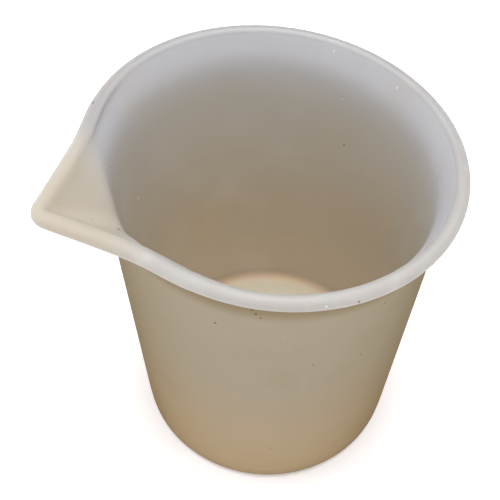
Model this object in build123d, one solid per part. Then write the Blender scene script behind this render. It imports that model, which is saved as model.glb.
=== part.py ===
from build123d import *
from math import cos, radians, sin, tan
import os

# A soft, one-piece resin mixing cup. Lengths are in millimetres.
# The origin is the centre of the flat foot, +Z is up, and +X points to the pour spout.
# The cup is the same on both sides of the plane Y = 0.

# Rim: a rolled lip with a round section runs round the mouth and out along the spout.
rim_radius = 32.0            # from the cup's axis to the outside of the lip
cup_height = 74.0            # from the foot to the top of the lip
lip_radius = 1.25            # half the thickness of the rolled lip

# Body: a thin wall that narrows towards the foot, and a flared band under the lip.
flare_reach = 4.4            # from the throat out to the outside of the lip
foot_radius = 27.4           # outside radius of the wall, carried down to the foot
wall = 1.6                   # wall thickness, measured level
floor_thickness = 2.2
flare_depth = 5.6            # from the top of the lip down to the throat
flare_inside_share = 0.9     # of the lip radius, from the lip's centre in to the flare's inside
flare_outside_share = 0.6    # of the lip radius, from the lip's centre out to the flare's outside
throat_round = 3.0           # the soft bend from the wall into the flare
waist_round = 2.0            # the same bend on the outside
foot_round = 2.6             # outside edge of the foot, eased in two flats
floor_round = 3.4            # inside corner between the wall and the floor, eased the same way

# Spout: a V in plan, whose floor falls from the tip to the root inside the cup.
spout_angle = 94.0           # degrees between the two sides of the V
spout_inset = 0.9            # how far the sides pass inside a tangent to the rim
spout_tip_radius = 3.4       # outside of the lip at the tip
spout_blend = 15.0           # hollow curve where the round rim runs into the straight side
spout_root_depth = 8.9       # from the top of the lip down to the trough where it meets the wall
spout_wall = 2.1             # wall of the trough, measured level
keel_radius = 4.5            # inside of the trough at its root
trough_seat_share = 0.84     # of the lip radius, from the lip's centre in to the top of the trough

# Places that follow from the sizes above.
lip_level = cup_height - lip_radius
lip_ring_radius = rim_radius - lip_radius
throat_level = cup_height - flare_depth
throat_radius = rim_radius - flare_reach
half_angle = radians(spout_angle / 2)

# An eased corner touches a quarter circle at its ends and its middle.
eased_share = 1 - cos(radians(45))


def wall_radius(level):
    """Inside radius of the tapering wall at a level."""
    foot_inside = foot_radius - wall
    return foot_inside + (throat_radius - foot_inside) * level / throat_level


def eased(level, size, outward):
    """Outline points of the corner from a flat at a level up into the wall."""
    radius = wall_radius(level + size) + outward
    return [
        (radius - size, level),
        (radius - size * eased_share, level + size * eased_share),
        (radius, level + size),
    ]


def turned(points):
    """A solid of revolution round the cup's axis from an (radius, level) outline."""
    outline = make_face(Polyline(points, close=True))
    return revolve(Plane.XZ * outline, axis=Axis.Z)


def circle_at(solid, radius, level):
    """The round edge of a turned solid that has this radius and level."""
    def miss(edge):
        return abs(edge.radius - radius) + abs(edge.center(CenterOf.BOUNDING_BOX).Z - level)

    return min(solid.edges().filter_by(GeomType.CIRCLE), key=miss)


def body():
    """The outside of the cup up to the middle of the lip, still solid."""
    solid = turned([
        (0, 0),
        *eased(0, foot_round, wall),
        (throat_radius + wall, throat_level),
        (lip_ring_radius + lip_radius * flare_outside_share, lip_level),
        (0, lip_level),
    ])
    return fillet(circle_at(solid, throat_radius + wall, throat_level), waist_round)


def cavity():
    """The room inside the cup, up to the middle of the lip."""
    solid = turned([
        (0, floor_thickness),
        *eased(floor_thickness, floor_round, 0),
        (throat_radius, throat_level),
        (lip_ring_radius - lip_radius * flare_inside_share, lip_level),
        (0, lip_level),
    ])
    return fillet(circle_at(solid, throat_radius, throat_level), throat_round)


def spout_section(side_distance, tip_radius, level):
    """A V with a round tip: both sides pass side_distance from the cup's axis."""
    ahead, aside = sin(half_angle), cos(half_angle)
    tip_centre = (side_distance - tip_radius) / ahead
    shoulder = (side_distance * ahead, side_distance * aside)
    tip_side = (tip_centre + tip_radius * ahead, tip_radius * aside)
    reach = tip_radius * bow_share
    bow = (tip_side[0] + reach * aside, tip_side[1] - reach * ahead)
    outline = [
        Line((0, -shoulder[1]), (shoulder[0], -shoulder[1])),
        Line((shoulder[0], -shoulder[1]), (tip_side[0], -tip_side[1])),
        Bezier((tip_side[0], -tip_side[1]), (bow[0], -bow[1]), bow, tip_side),
        Line(tip_side, shoulder),
        Line(shoulder, (0, shoulder[1])),
        Line((0, shoulder[1]), (0, -shoulder[1])),
    ]
    return Pos(0, 0, level) * make_face(outline)


bow_share = 4 / 3 * tan((radians(90) - half_angle) / 2)  # handles that bow a curve like an arc
lip_side_distance = rim_radius - spout_inset - lip_radius
lip_tip_radius = spout_tip_radius - lip_radius
root_level = cup_height - spout_root_depth
trough_seat = lip_radius * trough_seat_share
top_side_distance = lip_side_distance - trough_seat
top_tip_radius = lip_tip_radius - trough_seat
root_side_distance = (wall_radius(root_level) - keel_radius) * sin(half_angle) + keel_radius
trough_slope = (lip_level - root_level) / (top_side_distance - root_side_distance)


def trough():
    """The hollow of the spout."""
    return loft([
        spout_section(root_side_distance, keel_radius, root_level),
        spout_section(top_side_distance, top_tip_radius, lip_level),
    ], ruled=True)


def spout():
    """The outside of the spout, still solid: the trough's faces moved out by its wall."""
    drop = spout_wall * trough_slope
    return loft([
        spout_section(root_side_distance, keel_radius, root_level - drop),
        spout_section(top_side_distance + spout_wall, top_tip_radius + spout_wall, lip_level),
    ], ruled=True)


def lip():
    """The rolled lip, one round section led along the rim and round the spout."""
    sides = spout_section(lip_side_distance, lip_tip_radius, 0)
    plan = Circle(lip_ring_radius) + sides
    corners = plan.vertices().sort_by(lambda v: abs(Vector(v).length - lip_ring_radius))[:2]
    plan = fillet(corners, spout_blend)
    path = Pos(0, 0, lip_level) * plan.face().outer_wire()
    start = Plane(path @ 0, z_dir=path % 0)
    return sweep(start * Circle(lip_radius), path=path)


def silicone_cup():
    shell = (body() + spout()) - (cavity() + trough())
    return shell + lip()


if __name__ == "__main__":
    os.makedirs("parts", exist_ok=True)
    cup = silicone_cup()
    print("size", cup.bounding_box().size, "volume", cup.volume)
    print("solids", len(cup.solids()), "faces", len(cup.faces()), "valid", cup.is_valid)
    export_step(cup, "parts/silicone_cup.step")
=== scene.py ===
import math

import bpy
import numpy as np
from mathutils import Matrix, Vector


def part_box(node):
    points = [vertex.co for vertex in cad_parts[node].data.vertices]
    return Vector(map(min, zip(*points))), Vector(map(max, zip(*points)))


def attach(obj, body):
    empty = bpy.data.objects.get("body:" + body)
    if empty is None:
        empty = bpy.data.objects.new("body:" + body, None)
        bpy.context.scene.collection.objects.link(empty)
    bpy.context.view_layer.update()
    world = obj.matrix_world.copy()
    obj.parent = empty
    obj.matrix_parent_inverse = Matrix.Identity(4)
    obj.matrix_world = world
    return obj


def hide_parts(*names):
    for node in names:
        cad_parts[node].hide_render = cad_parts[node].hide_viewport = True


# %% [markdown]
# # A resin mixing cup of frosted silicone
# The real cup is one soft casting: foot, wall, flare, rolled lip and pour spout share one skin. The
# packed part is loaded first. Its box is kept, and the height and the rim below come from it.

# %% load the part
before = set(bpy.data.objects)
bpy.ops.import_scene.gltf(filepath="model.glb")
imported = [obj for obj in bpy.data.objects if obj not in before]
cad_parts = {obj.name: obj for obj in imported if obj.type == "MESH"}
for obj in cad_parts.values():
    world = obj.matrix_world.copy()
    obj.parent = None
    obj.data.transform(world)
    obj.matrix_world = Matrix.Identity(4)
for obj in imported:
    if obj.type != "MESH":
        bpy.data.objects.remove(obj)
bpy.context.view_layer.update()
low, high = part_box("silicone_cup")

# %% [markdown]
# ## Sizes
# Lengths are in metres. The height and the rim come from the part's own box, and the wall, the foot,
# the throat and the V of the spout have the part's sizes. The inside of the flare and the top of the
# trough stand a little further in than the part's, because here the lip flows into them with a soft
# bend instead of sitting on them.

# %% sizes of the wall and the lip
MM = 0.001
HEIGHT = high.z
RIM = -low.x
LIP = 1.25 * MM
WALL = 1.6 * MM
FLOOR = 2.2 * MM
FOOT = 27.4 * MM
THROAT = RIM - 4.4 * MM
THROAT_LEVEL = HEIGHT - 5.6 * MM
THROAT_BEND = 0.5 * MM
LIP_LEVEL = HEIGHT - LIP
LIP_RING = RIM - LIP
FLARE = LIP_RING - 1.35 * MM
FOOT_ROUND = 2.6 * MM
FLOOR_ROUND = 3.4 * MM
print("height and rim radius in mm", round(HEIGHT / MM, 2), round(RIM / MM, 2))

# %% sizes of the spout
HALF = math.radians(47)
SIDE = RIM - 0.9 * MM - LIP
TIP = 2.15 * MM
ROOT_LEVEL = HEIGHT - 8.9 * MM
KEEL = 4.5 * MM
SPOUT_WALL = 2.1 * MM
print("spout's root lies", round((HEIGHT - ROOT_LEVEL) / MM, 2), "mm under the top")

# %% [markdown]
# ## The cup's outline
# A moulded cup is round, so half a section through its wall says nearly everything about it. It could
# be drawn by hand as a curve. Short rules for its points keep the thin wall even, and put most points
# where the wall bends. The outline runs from the middle of the floor up the inside, over the rolled
# lip and down the outside to the middle of the foot. Each point also says which rule places it
# later: the inside, the lip or the outside.


# %% the inside of the wall
def inner_radius(z):
    """Inside radius of the wall and the flare at a level, without the spout."""
    foot_inside = FOOT - WALL
    wall = foot_inside + (THROAT - foot_inside) * z / THROAT_LEVEL
    flare = THROAT + (FLARE - THROAT) * (z - THROAT_LEVEL) / (LIP_LEVEL - THROAT_LEVEL)
    bend = min((flare - wall) / THROAT_BEND, 60)
    return wall + THROAT_BEND * math.log1p(math.exp(bend))


levels = (FLOOR, THROAT_LEVEL, LIP_LEVEL)
print("inside radius in mm at floor, throat and lip", [round(inner_radius(z) / MM, 2) for z in levels])


# %% points of the outline
FLAT_RINGS = (0, 6 * MM, 12 * MM, 17 * MM)
CORNER_STEPS = 8
PLAIN_TOP = 57 * MM
LIP_FROM, LIP_TO = 148, -100


def corner_points(radius, level, size, start, end):
    """Points of a round corner in the section, between two angles in degrees."""
    return [
        (radius + size * math.cos(math.radians(a)), level + size * math.sin(math.radians(a)))
        for a in np.linspace(start, end, CORNER_STEPS)
    ]


def wall_points(kind, levels, out):
    """Points of the wall at these levels, moved out from its inside."""
    return [(kind, inner_radius(z) + out, z) for z in levels]


rows = [("inside", r, FLOOR) for r in FLAT_RINGS]
corner = inner_radius(FLOOR + FLOOR_ROUND) - FLOOR_ROUND
for r, z in corner_points(corner, FLOOR + FLOOR_ROUND, FLOOR_ROUND, -90, -6):
    rows.append(("inside", r, z))
rows += wall_points("inside", np.linspace(9 * MM, PLAIN_TOP, 17), 0)
rows += wall_points("inside", np.linspace(HEIGHT - 14 * MM, LIP_LEVEL + 0.3 * MM, 26), 0)
rows += [("lip", a, 0) for a in np.linspace(LIP_FROM, LIP_TO, 21)]
rows += wall_points("outside", np.linspace(LIP_LEVEL - 1.6 * MM, HEIGHT - 15 * MM, 22), WALL)
rows += wall_points("outside", np.linspace(5 * MM, PLAIN_TOP, 19)[::-1], WALL)
for r, z in corner_points(FOOT - FOOT_ROUND, FOOT_ROUND, FOOT_ROUND, 0, -90):
    rows.append(("outside", r, z))
rows += [("outside", r, 0) for r in reversed(FLAT_RINGS)]
print("points in the outline", len(rows))

# %% [markdown]
# ## Spinning the outline
# Like a pot on a wheel, the round cup is its outline turned once round the axis, and Spin does that
# in edit mode. The first and last columns then lie on each other, and each point on the axis is there
# once for every column, so doubles are merged before the normals are worked out. Every point keeps
# the number of its row, which tells the later steps what it belongs to.

# %% the outline as a mesh
COLUMNS = 240


def lip_place(angle):
    """Radius and level of a point on the lip's round section, from its angle in degrees."""
    return (LIP_RING + LIP * math.cos(math.radians(angle)),
            LIP_LEVEL + LIP * math.sin(math.radians(angle)))


mesh = bpy.data.meshes.new("silicone_cup_skin")
points = [lip_place(r) if kind == "lip" else (r, z) for kind, r, z in rows]
mesh.from_pydata([(r, 0, z) for r, z in points],
                 [(i, i + 1) for i in range(len(points) - 1)], [])
mark = mesh.attributes.new("row", "INT", "POINT")
mark.data.foreach_set("value", list(range(len(points))))
cup = bpy.data.objects.new("silicone_cup_skin", mesh)
bpy.context.scene.collection.objects.link(cup)
print("outline", len(mesh.edges), "edges")

# %% spin
bpy.ops.object.select_all(action="DESELECT")
bpy.context.view_layer.objects.active = cup
cup.select_set(True)
bpy.ops.object.mode_set(mode="EDIT")
bpy.ops.mesh.select_all(action="SELECT")
bpy.ops.mesh.spin(steps=COLUMNS, angle=2 * math.pi, center=(0, 0, 0), axis=(0, 0, 1))
bpy.ops.mesh.select_all(action="SELECT")
bpy.ops.mesh.remove_doubles(threshold=1e-6)
bpy.ops.mesh.normals_make_consistent(inside=False)
bpy.ops.object.mode_set(mode="OBJECT")
print("spun", len(mesh.vertices), "vertices")

# %% [markdown]
# ## The spout seen from above
# The rim runs out into a V with a round tip. The spout could be a second piece joined on, but the real
# one has no seam, so the round skin itself is moved out to the V. Where circle and V meet, the larger
# of the two distances counts, with a soft bend between them.

# %% the V and the lip's path
JOIN_AT = 0.5
JOIN_SPREAD = 1.4
JOIN_BEND = 0.5 * MM


def vee(angle, side, tip):
    """Distance from the axis to a V with a round tip, at an angle from the spout's line."""
    a = np.abs(angle)
    middle = (side - tip) / np.sin(HALF)
    turn = np.pi / 2 - HALF
    straight = np.where(a < turn, side / np.maximum(np.cos(turn - a), 0.2), 0)
    inside = np.maximum(tip**2 - (middle * np.sin(a))**2, 0)
    rounded = middle * np.cos(a) + np.sqrt(inside)
    end = np.arctan2(tip * np.cos(HALF), middle + tip * np.sin(HALF))
    return np.where(a < end, rounded, straight)


def joined(a, b, bend):
    """The larger of two distances, with a soft bend between them."""
    return bend * np.logaddexp(a / bend, b / bend)


def plan(angle):
    """Distance from the axis to the middle of the lip."""
    near_join = JOIN_SPREAD - np.abs(np.abs(angle) - JOIN_AT) * JOIN_SPREAD
    bend = JOIN_BEND * np.clip(near_join, 0.05, 1)
    return joined(np.full_like(angle, LIP_RING), vee(angle, SIDE, TIP), bend)


print("lip's path reaches", round(float(plan(np.array([0.0]))[0]) / MM, 2), "mm at the spout")

# %% [markdown]
# ## The trough
# The spout's floor falls from the tip to its root inside the cup. At each level its plan is the same V,
# smaller and rounder further down, so one rule gives both faces: the hollow, and the outside moved out
# by the spout's wall.

# %% the trough's form
TOP_LEVEL = LIP_LEVEL + 0.5 * MM
TOP_SIDE = SIDE - 1.77 * MM
TOP_TIP = 1.3 * MM
ROOT_SIDE = (inner_radius(ROOT_LEVEL) - KEEL) * math.sin(HALF) + KEEL
TIP_LEAST, TIP_MOST = 0.4 * MM, 8 * MM
TIP_GROWTH = 0.8
LOWEST_SHARE = -0.6


def trough(angle, z, out):
    """Distance from the axis to the spout's falling floor at a level, moved out by a wall."""
    share = (z - ROOT_LEVEL) / (TOP_LEVEL - ROOT_LEVEL)
    side = ROOT_SIDE + (TOP_SIDE - ROOT_SIDE) * share + out
    tip = np.clip(KEEL + (TOP_TIP - KEEL) * share + out * TIP_GROWTH, TIP_LEAST, TIP_MOST)
    return np.where(share > LOWEST_SHARE, vee(angle, side, tip), 0)


print("trough's side in mm at root and top", round(ROOT_SIDE / MM, 2), round(TOP_SIDE / MM, 2))

# %% [markdown]
# ## Moving the wall out to the spout
# The spun columns are evenly spaced, and too few of them would fall on the narrow spout. They are drawn
# together towards it first. Then every point of the inside and the outside takes the larger of its own
# radius and the trough's.

# %% the wall and the trough together
GATHER, GATHER_WIDTH = 0.80, 0.9
INSIDE_FROM, OUTSIDE_FROM = HEIGHT - 16 * MM, HEIGHT - 18 * MM
INSIDE_BEND, OUTSIDE_BEND = 0.25 * MM, 0.4 * MM

place = np.array([v.co for v in mesh.vertices])
row = np.array([m.value for m in mesh.attributes["row"].data])
kinds = np.array([kind for kind, _, _ in rows])[row]
spun = np.arctan2(place[:, 1], place[:, 0])
angle = spun - GATHER * np.sin(spun) * np.exp(-(spun / GATHER_WIDTH)**2)
radius = np.hypot(place[:, 0], place[:, 1])
level = place[:, 2]

near_top = np.clip((level - HEIGHT + 7 * MM) / (5 * MM), 0, 1)
hollow = joined(radius, trough(angle, level, 0), INSIDE_BEND * (1 + near_top))
keel = joined(radius, trough(angle, level, SPOUT_WALL), OUTSIDE_BEND)
inside = np.where(level > INSIDE_FROM, hollow, radius)
outside = np.where(level > OUTSIDE_FROM, keel, radius)
moved = np.where(kinds == "inside", inside, outside)
x, y, z = moved * np.cos(angle), moved * np.sin(angle), level.copy()
print("points moved out for the spout", int((moved > radius + 0.1 * MM).sum()))

# %% [markdown]
# ## Leading the lip along its path
# The lip is a round bead that keeps its thickness round the V, so it can't simply be scaled with the
# wall. At each column its section stands square to the path, whose direction comes from two points
# just before and after. Along the spout the bead is a little wider towards the inside.

# %% the lip
STEP = 1e-4
WIDER = 0.3 * MM
WIDER_UNTIL, WIDER_FADE = 1.0, 0.35

middle, onward, behind = plan(angle), plan(angle + STEP), plan(angle - STEP)
path_x, path_y = middle * np.cos(angle), middle * np.sin(angle)
along_x = onward * np.cos(angle + STEP) - behind * np.cos(angle - STEP)
along_y = onward * np.sin(angle + STEP) - behind * np.sin(angle - STEP)
length = np.hypot(along_x, along_y)
square_x, square_y = along_y / length, -along_x / length
around = np.radians(np.array([a if kind == "lip" else 0 for kind, a, _ in rows])[row])
on_lip = kinds == "lip"
thick = LIP + WIDER * np.clip((WIDER_UNTIL - np.abs(angle)) / WIDER_FADE, 0, 1)
off = thick * np.cos(around) - (thick - LIP)
x = np.where(on_lip, path_x + off * square_x, x)
y = np.where(on_lip, path_y + off * square_y, y)
z = np.where(on_lip, LIP_LEVEL + LIP * np.sin(around), z)
print("points on the lip", int(on_lip.sum()))

# %% [markdown]
# ## A soft cup is never quite round
# Silicone gives under its own weight and under the hand. The rim is slightly oval, and rises a little
# towards the spout and to one side, at -Y. Both grow from nothing at the foot, so the cup still
# stands flat.

# %% soft lean
OVAL, OVAL_AT = 0.028, math.radians(-63)
LEAN_X, LEAN_Y = 0.030, -0.025
up = np.clip(z / HEIGHT, 0, 1)
stretch = 1 + OVAL * up * np.cos(2 * (np.arctan2(y, x) - OVAL_AT))
x, y = x * stretch, y * stretch
z = z + up * (LEAN_X * x + LEAN_Y * y)
mesh.vertices.foreach_set("co", np.stack([x, y, z], 1).ravel())
print("top of the lip in mm, lowest and highest",
      round(float(z[on_lip].min()) / MM, 2), round(float(z[on_lip].max()) / MM, 2))

# %% [markdown]
# ## Marks for the paint
# The inside, the outside and the lip have different colours. Two numbers on each point say where it
# belongs: inner is 1 on the inside and 0 on the outside, and turns over across the lip, and lip is 1
# on the bead.

# %% marks on the skin
across_lip = np.clip(0.5 - np.cos(around), 0, 1)
inner_share = np.where(kinds == "inside", 1.0, np.where(on_lip, across_lip, 0.0))
for name, values in (("inner", inner_share), ("lip", on_lip.astype(float))):
    skin = mesh.attributes.new(name, "FLOAT", "POINT")
    skin.data.foreach_set("value", values)
mesh.update()
bpy.ops.object.shade_smooth()
print("cup skin", len(mesh.polygons), "faces")


# %% [markdown]
# ## Sockets as numbers
# Paint that changes over a surface is worked out by nodes. Laid by hand they are hard to read, so a
# small class wraps one socket of a node, and Python's own signs add the Math nodes.

# %% the socket class
class Signal:
    """A socket of a shader tree that adds and multiplies like a number."""

    def __init__(self, tree, socket):
        self.tree = tree
        self.socket = socket

    def node(self, kind, inputs=(), output=0, **settings):
        """A new node with these settings and inputs, seen through one of its outputs."""
        made = self.tree.nodes.new(kind)
        for key, value in settings.items():
            setattr(made, key, value)
        for key, value in dict(inputs).items():
            if isinstance(value, Signal):
                self.tree.links.new(value.socket, made.inputs[key])
            else:
                made.inputs[key].default_value = value
        return Signal(self.tree, made.outputs[output])

    def math(self, operation, *values):
        return self.node("ShaderNodeMath", enumerate(values), operation=operation)

    def __add__(self, other):
        return self.math("ADD", self, other)

    def __radd__(self, other):
        return self.math("ADD", other, self)

    def __sub__(self, other):
        return self.math("SUBTRACT", self, other)

    def __rsub__(self, other):
        return self.math("SUBTRACT", other, self)

    def __mul__(self, other):
        return self.math("MULTIPLY", self, other)

    def __rmul__(self, other):
        return self.math("MULTIPLY", other, self)

    def __truediv__(self, other):
        return self.math("DIVIDE", self, other)

    def __rtruediv__(self, other):
        return self.math("DIVIDE", other, self)

    def rise(self, start, end):
        """0 before start and 1 after end, with a soft step between."""
        return self.node("ShaderNodeMapRange", {"Value": self, "From Min": start, "From Max": end},
                         interpolation_type="SMOOTHSTEP")

    def blend(self, first, second):
        """The first colour where this is 0 and the second where it is 1.

        A Mix node has sockets for each kind of value: 0 is the factor, 6 and 7 are the colours
        that go in, and 2 is the colour that comes out.
        """
        return self.node("ShaderNodeMix", {0: self, 6: first, 7: second}, 2, data_type="RGBA")

    def feed(self, socket):
        self.tree.links.new(self.socket, socket)


def principled(name):
    """A new material and its Principled node."""
    material = bpy.data.materials.new(name)
    material.use_nodes = True
    return material, material.node_tree.nodes["Principled BSDF"]


print("operators on sockets", sorted(name for name in vars(Signal) if name.startswith("__r")))

# %% [markdown]
# ## Frosted silicone
# Silicone is cloudy, and its colour shifts over the cup. The outside is painted warm towards the foot, a
# painted warm light from a table below, and the flare is painted cool, a painted cool light from above.
# A picture wrapped round the cup could show that from one side only. Here the colour follows the place
# on the cup, read from
# Object coordinates with the lean taken out of the level.

# %% places on the cup
silicone, shader = principled("frosted_silicone")
tree = silicone.node_tree
here = Signal(tree, tree.nodes.new("ShaderNodeTexCoord").outputs["Object"])
at_x, at_y, at_z = (here.node("ShaderNodeSeparateXYZ", {0: here}, axis) for axis in "XYZ")
reach = here.math("SQRT", at_x * at_x + at_y * at_y)
upright = at_z - at_z / HEIGHT * (LEAN_X * at_x + LEAN_Y * at_y)
inner = here.node("ShaderNodeAttribute", output="Fac", attribute_name="inner")
lip = here.node("ShaderNodeAttribute", output="Fac", attribute_name="lip")
print("nodes so far", len(tree.nodes))

# %% [markdown]
# The outside is warmest at the foot, a painted warm light from a table below, and has a painted shade
# band under the lip, where the flare shades it. The inside turns cool in the flare, a painted cool light
# from above, and its floor is painted bright and warm, because on the real cup light comes up through
# it.

# %% colours of the wall
FOOT_PAINTED_BOUNCE, WALL_SAND = (0.94, 0.63, 0.47, 1), (0.66, 0.575, 0.505, 1)
UNDER_LIP = (0.46, 0.38, 0.28, 1)
INSIDE_LOW, INSIDE_HIGH = (0.39, 0.345, 0.27, 1), (0.405, 0.385, 0.35, 1)
FLARE_PAINTED_SKYLIGHT = (0.43, 0.43, 0.455, 1)
FLOOR_GLOW = (1.0, 0.74, 0.54, 1)

# painted warm light from a table below, strongest at the foot
outer_wall = upright.rise(3 * MM, HEIGHT * 0.65).blend(FOOT_PAINTED_BOUNCE, WALL_SAND)
outer_wall = upright.rise(HEIGHT - 9.6 * MM, HEIGHT - 6 * MM).blend(outer_wall, UNDER_LIP)
inner_wall = upright.rise(25 * MM, HEIGHT - 10 * MM).blend(INSIDE_LOW, INSIDE_HIGH)
# painted cool light from above, in the flare
inner_wall = upright.rise(HEIGHT - 15 * MM, HEIGHT - 3 * MM).blend(inner_wall, FLARE_PAINTED_SKYLIGHT)
on_floor = (1 - upright.rise(2.7 * MM, 5 * MM)) * (1 - reach.rise(23.2 * MM, 26.4 * MM))
inner_wall = on_floor.blend(inner_wall, FLOOR_GLOW)
body = inner.blend(outer_wall, inner_wall)
print("nodes so far", len(tree.nodes))

# %% [markdown]
# The lip catches the most light, so its colour is a grey darker than the wall's. Painted shade darkens
# it further on the side that lies away from the front, and along its inner edge on the near side. The
# spout is creamier than the flare beside it, in its trough and along its lip.

# %% colours of the lip and the spout
RIM_FAR_SHADED, RIM_NEAR, RIM_INNER_SHADED = (0.255, 0.25, 0.255, 1), (0.385, 0.365, 0.35, 1), (0.30, 0.29, 0.28, 1)
SPOUT_CREAM = (0.395, 0.355, 0.30, 1)
FRONT_X, FRONT_Y = 0.437, 0.9

nearer = (at_x * FRONT_X + at_y * FRONT_Y).rise(-RIM, RIM * 0.9)
# painted shade: the lip is darker away from the front, and along its inner edge on the near side
rim = nearer.blend(RIM_FAR_SHADED, RIM_NEAR)
rim = (0.6 * nearer * inner.rise(0.45, 0.95)).blend(rim, RIM_INNER_SHADED)
body = (lip * (1 - 0.6 * (1 - nearer) * inner.rise(0.5, 1.0))).blend(body, rim)
outer_skin = (1 - inner) * (1 - lip)
towards_tip = at_x - 0.5 * at_y.math("ABSOLUTE", at_y)
body = (towards_tip.rise(17 * MM, 29 * MM) * (1 - outer_skin)).blend(body, SPOUT_CREAM)
print("nodes so far", len(tree.nodes))

# %% [markdown]
# Cast silicone is never even. Broad clouds turn it warmer and paler by turns, and on the outside faint
# streaks run from top to bottom. They are a noise stretched along the height, which comes from
# squeezing the coordinates that it reads.

# %% clouds and streaks
CLOUD_WARM, CLOUD_PALE = (0.44, 0.34, 0.22, 1), (0.60, 0.60, 0.60, 1)
STREAK_PALE = (0.72, 0.68, 0.62, 1)


def clouds(scale, detail=3.0, vector=here):
    """A soft noise over the cup, finer as its scale grows."""
    return here.node("ShaderNodeTexNoise", {"Vector": vector, "Scale": scale, "Detail": detail}, "Fac")


cloud = clouds(70.0)
body = (0.16 * cloud.rise(0.5, 0.8)).blend(body, CLOUD_WARM)
body = (0.12 * (1 - cloud.rise(0.2, 0.5))).blend(body, CLOUD_PALE)
squeezed = here.node("ShaderNodeVectorMath", {0: here, 1: (1, 1, 0.08)}, operation="MULTIPLY")
streak = clouds(260.0, vector=squeezed)
body = (0.16 * streak.rise(0.55, 0.8) * (1 - inner)).blend(body, STREAK_PALE)
print("nodes so far", len(tree.nodes))

# %% [markdown]
# A used cup carries marks: faint stains, specks of dust and pale lint. They have no height, so they are
# painted. Each is a small ball in space, and the skin is coloured where it passes through one. The
# stains are larger than the wall is thick, so they tint both of its faces.


# %% marks of use
def spots(places, edge):
    """1 inside round marks and 0 outside, given as x, y, z and radius in millimetres."""
    total = 0.0
    for x, y, z, size in places:
        far = here.node("ShaderNodeVectorMath", {0: here, 1: (x * MM, y * MM, z * MM)}, "Value",
                        operation="DISTANCE")
        total = 1 - far.rise(edge * size * MM, size * MM) + total
    return total.math("MINIMUM", total, 1.0)


STAIN, DUST, LINT = (0.50, 0.38, 0.20, 1), (0.06, 0.05, 0.04, 1), (0.85, 0.84, 0.80, 1)
SOFT_EDGE, FIRM_EDGE = 0.0, 0.4

stains = spots([(-26.8, -0.4, 47.5, 7), (-26.6, -0.6, 40.5, 6), (4.0, -26.4, 26.7, 8),
                (9.9, 26.8, 46.7, 6), (-1.3, 28.9, 44.2, 5), (-5.0, 28.9, 53.4, 5)], SOFT_EDGE)
body = (0.22 * stains * clouds(300.0).rise(0.2, 0.7)).blend(body, STAIN)
dust = spots([(14.9, 25.1, 68.1, 0.29), (14.3, 25.3, 66.9, 0.35), (13.6, 25.6, 65.8, 0.26),
              (1.3, 32.4, 72.2, 0.26), (-6.3, 29.0, 62.9, 0.23), (-12.3, 30.5, 71.7, 0.23),
              (24.7, -20.0, 75.1, 0.29), (22.2, -16.9, 65.3, 0.23), (25.4, -11.4, 67.9, 0.26),
              (31.9, 0.2, 69.7, 0.2), (-22.6, -14.0, 52.0, 0.29), (5.1, 28.4, 50.4, 0.23),
              (-3.9, 28.8, 48.5, 0.23), (10.9, 25.6, 16.6, 0.26), (19.3, 21.0, 61.4, 0.29),
              (28.1, 1.4, 66.8, 0.35), (28.2, 0.6, 67.6, 0.29)], FIRM_EDGE)
body = (0.9 * dust).blend(body, DUST)
lint = spots([(19.9, -18.9, 49.8, 0.41), (20.6, -18.0, 46.8, 0.23), (6.1, 31.5, 72.6, 0.29),
              (3.2, 32.1, 71.7, 0.29), (-10.7, 27.1, 45.3, 0.35), (10.3, 27.0, 60.2, 0.29),
              (-21.8, -15.6, 63.3, 0.29), (-21.1, -19.3, 72.3, 0.29), (-27.5, -6.7, 71.2, 0.35),
              (-24.6, 13.8, 67.3, 0.29), (-25.8, 11.2, 67.5, 0.29), (-25.9, 8.0, 48.2, 0.29)], FIRM_EDGE)
body = (0.4 * lint).blend(body, LINT)
body.feed(shader.inputs["Base Color"])
print("nodes so far", len(tree.nodes))

# %% [markdown]
# Light enters silicone and comes out elsewhere, so the skin scatters it under the surface. Clear
# material with a tint could do this too, but it needs many more bounces of light. The surface is matt,
# with a fine grain. A thin tinted coat on the outside darkens and warms it where it is seen at a
# slant, as the real skin looks towards its edges.

# %% the skin's surface
grain = clouds(1400.0, 2.0)
(0.46 + 0.12 * clouds(160.0)).feed(shader.inputs["Roughness"])
bump = grain.node("ShaderNodeBump", {"Height": grain, "Strength": 0.12, "Distance": 0.2 * MM}, "Normal")
bump.feed(shader.inputs["Normal"])
outer_skin.feed(shader.inputs["Coat Weight"])
surface = {
    "IOR": 1.41,
    "Subsurface Weight": 1.0,
    "Subsurface Radius": (1.0, 0.95, 0.9),
    "Subsurface Scale": 8 * MM,
    "Coat Roughness": 0.5,
    "Coat IOR": 1.02,
    "Coat Tint": (0.80, 0.77, 0.70, 1),
}
for name, value in surface.items():
    shader.inputs[name].default_value = value
cup.data.materials.append(silicone)
print("silicone has", len(tree.nodes), "nodes")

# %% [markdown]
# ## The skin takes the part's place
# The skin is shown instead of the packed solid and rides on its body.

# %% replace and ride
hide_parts("silicone_cup")
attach(cup, "root")
print("skin stands for silicone_cup")


# %% [markdown]
# ## Floor
# The cup stands on plain white paper that keeps its soft shadow. White paper under enough light would
# wash out the cup, so the paper is white only for what the camera sees, also in reflections and through
# clear things. For all other light it stays a plain pale grey.

# %% what the camera sees
def seen(tree):
    """1 for what the camera sees, also by way of glossy and clear surfaces."""
    path = tree.nodes.new("ShaderNodeLightPath")
    rays = [Signal(tree, path.outputs[name])
            for name in ("Is Camera Ray", "Is Glossy Ray", "Is Transmission Ray")]
    return rays[0].math("MINIMUM", rays[0] + rays[1] + rays[2], 1.0)


print("white is kept for camera, glossy and transmission rays")

# %% floor
PAPER = (0.80, 0.79, 0.77, 1)
WHITE = (1, 1, 1, 1)

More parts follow.
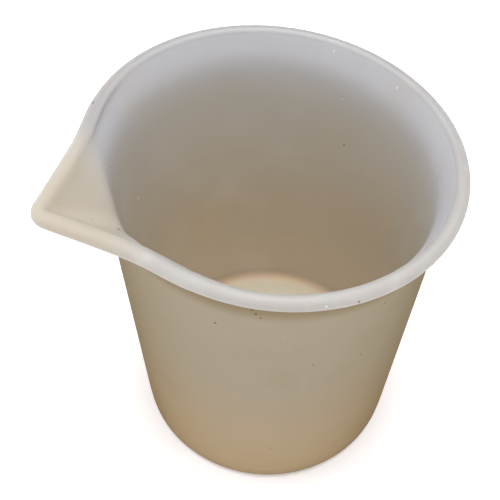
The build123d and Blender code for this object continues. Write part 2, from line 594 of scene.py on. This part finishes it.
bpy.ops.mesh.primitive_plane_add(size=4)
floor = bpy.context.object
floor.name = "studio_floor"
paint, paint_shader = principled("studio_paper")
paint_shader.inputs["Base Color"].default_value = PAPER
paint_shader.inputs["Roughness"].default_value = 0.9
mask = seen(paint.node_tree)
white = mask.node("ShaderNodeBsdfPrincipled", {
    "Base Color": WHITE, "Roughness": 1.0, "Specular IOR Level": 0.0,
    "Emission Color": WHITE, "Emission Strength": 0.2}, "BSDF")
plain = Signal(paint.node_tree, paint_shader.outputs[0])
mask.node("ShaderNodeMixShader", {0: mask, 1: plain, 2: white}).feed(
    paint.node_tree.nodes["Material Output"].inputs["Surface"])
floor.data.materials.append(paint)
print("floor", [round(side, 2) for side in floor.dimensions])

# %% [markdown]
# ## Light
# A small studio: a dim, slightly blue room all round, a round lamp straight above that lights the
# floor through the open cup, a weak one in front and a wide one from the side of the spout. The lamps
# stay at a plain level, so that colours show about as they are written.

# %% world
world = bpy.data.worlds.new("studio")
bpy.context.scene.world = world
world.use_nodes = True
mask = seen(world.node_tree)
sky = mask.node("ShaderNodeBackground", {"Color": (0.92, 0.96, 1.0, 1), "Strength": 0.56})
white = mask.node("ShaderNodeBackground", {"Color": WHITE, "Strength": 1.0})
mask.node("ShaderNodeMixShader", {0: mask, 1: sky, 2: white}).feed(
    world.node_tree.nodes["World Output"].inputs["Surface"])
print("world has", len(world.node_tree.nodes), "nodes")


# %% lamps
def lamp(name, place, size, power, color):
    """A round lamp that faces the cup's foot."""
    light = bpy.data.lights.new(name, "AREA")
    light.shape = "DISK"
    light.size = size
    light.energy = power
    light.color = color
    holder = bpy.data.objects.new(name, light)
    holder.location = place
    holder.rotation_euler = (-Vector(place)).to_track_quat("-Z", "Y").to_euler()
    bpy.context.scene.collection.objects.link(holder)


lamp("overhead", (0.0, 0.0, 1.0), 0.5, 7.8, (1.0, 1.0, 1.0))
lamp("front", (0.33, 0.69, 0.64), 0.3, 0.5, (1.0, 0.99, 0.98))
lamp("side", (0.80, -0.38, 0.46), 0.6, 1.4, (1.0, 1.0, 1.0))
print("lamps in watts", {light.name: round(light.energy, 2) for light in bpy.data.lights})

# %% [markdown]
# ## Camera
# The camera stands close and looks down into the cup, with the spout to the left. Its stand is first
# set straight in front of the cup, at -Y, for a cup whose spout points SPOUT_AT round from X. The stand
# is then turned back by that angle round the cup's axis, because the part's spout points along X.

# %% camera
SPOUT_AT = math.radians(205.9)
DISTANCE, STAND = 94.816 * MM, 167.232 * MM
YAW, PITCH, ROLL = -0.041, 0.910, 0.003
SENSOR = 36
FOCAL_PIXELS, PICTURE_PIXELS = 800, 500

turn = Matrix.Rotation(-SPOUT_AT, 3, "Z")
sight = Vector((math.sin(YAW) * math.cos(PITCH), math.cos(YAW) * math.cos(PITCH), -math.sin(PITCH)))
right = Vector((math.cos(YAW), -math.sin(YAW), 0))
upward = right.cross(sight)
across = right * math.cos(ROLL) + upward * math.sin(ROLL)
over = upward * math.cos(ROLL) - right * math.sin(ROLL)
axes = Matrix([turn @ across, turn @ over, turn @ -sight]).transposed()
camera_data = bpy.data.cameras.new("camera")
camera_data.sensor_width = SENSOR
camera_data.lens = FOCAL_PIXELS / PICTURE_PIXELS * SENSOR
camera_data.clip_start = 10 * MM
camera = bpy.data.objects.new("camera", camera_data)
camera.matrix_world = Matrix.Translation(turn @ Vector((0, -DISTANCE, STAND))) @ axes.to_4x4()
bpy.context.scene.collection.objects.link(camera)
bpy.context.scene.camera = camera
bpy.context.scene.view_settings.view_transform = "Standard"
print("camera in mm", [round(1000 * v, 1) for v in camera.matrix_world.translation])

# %% [markdown]
# ## Finish
# The scene is brought up to date.

# %% finish
bpy.context.view_layer.update()
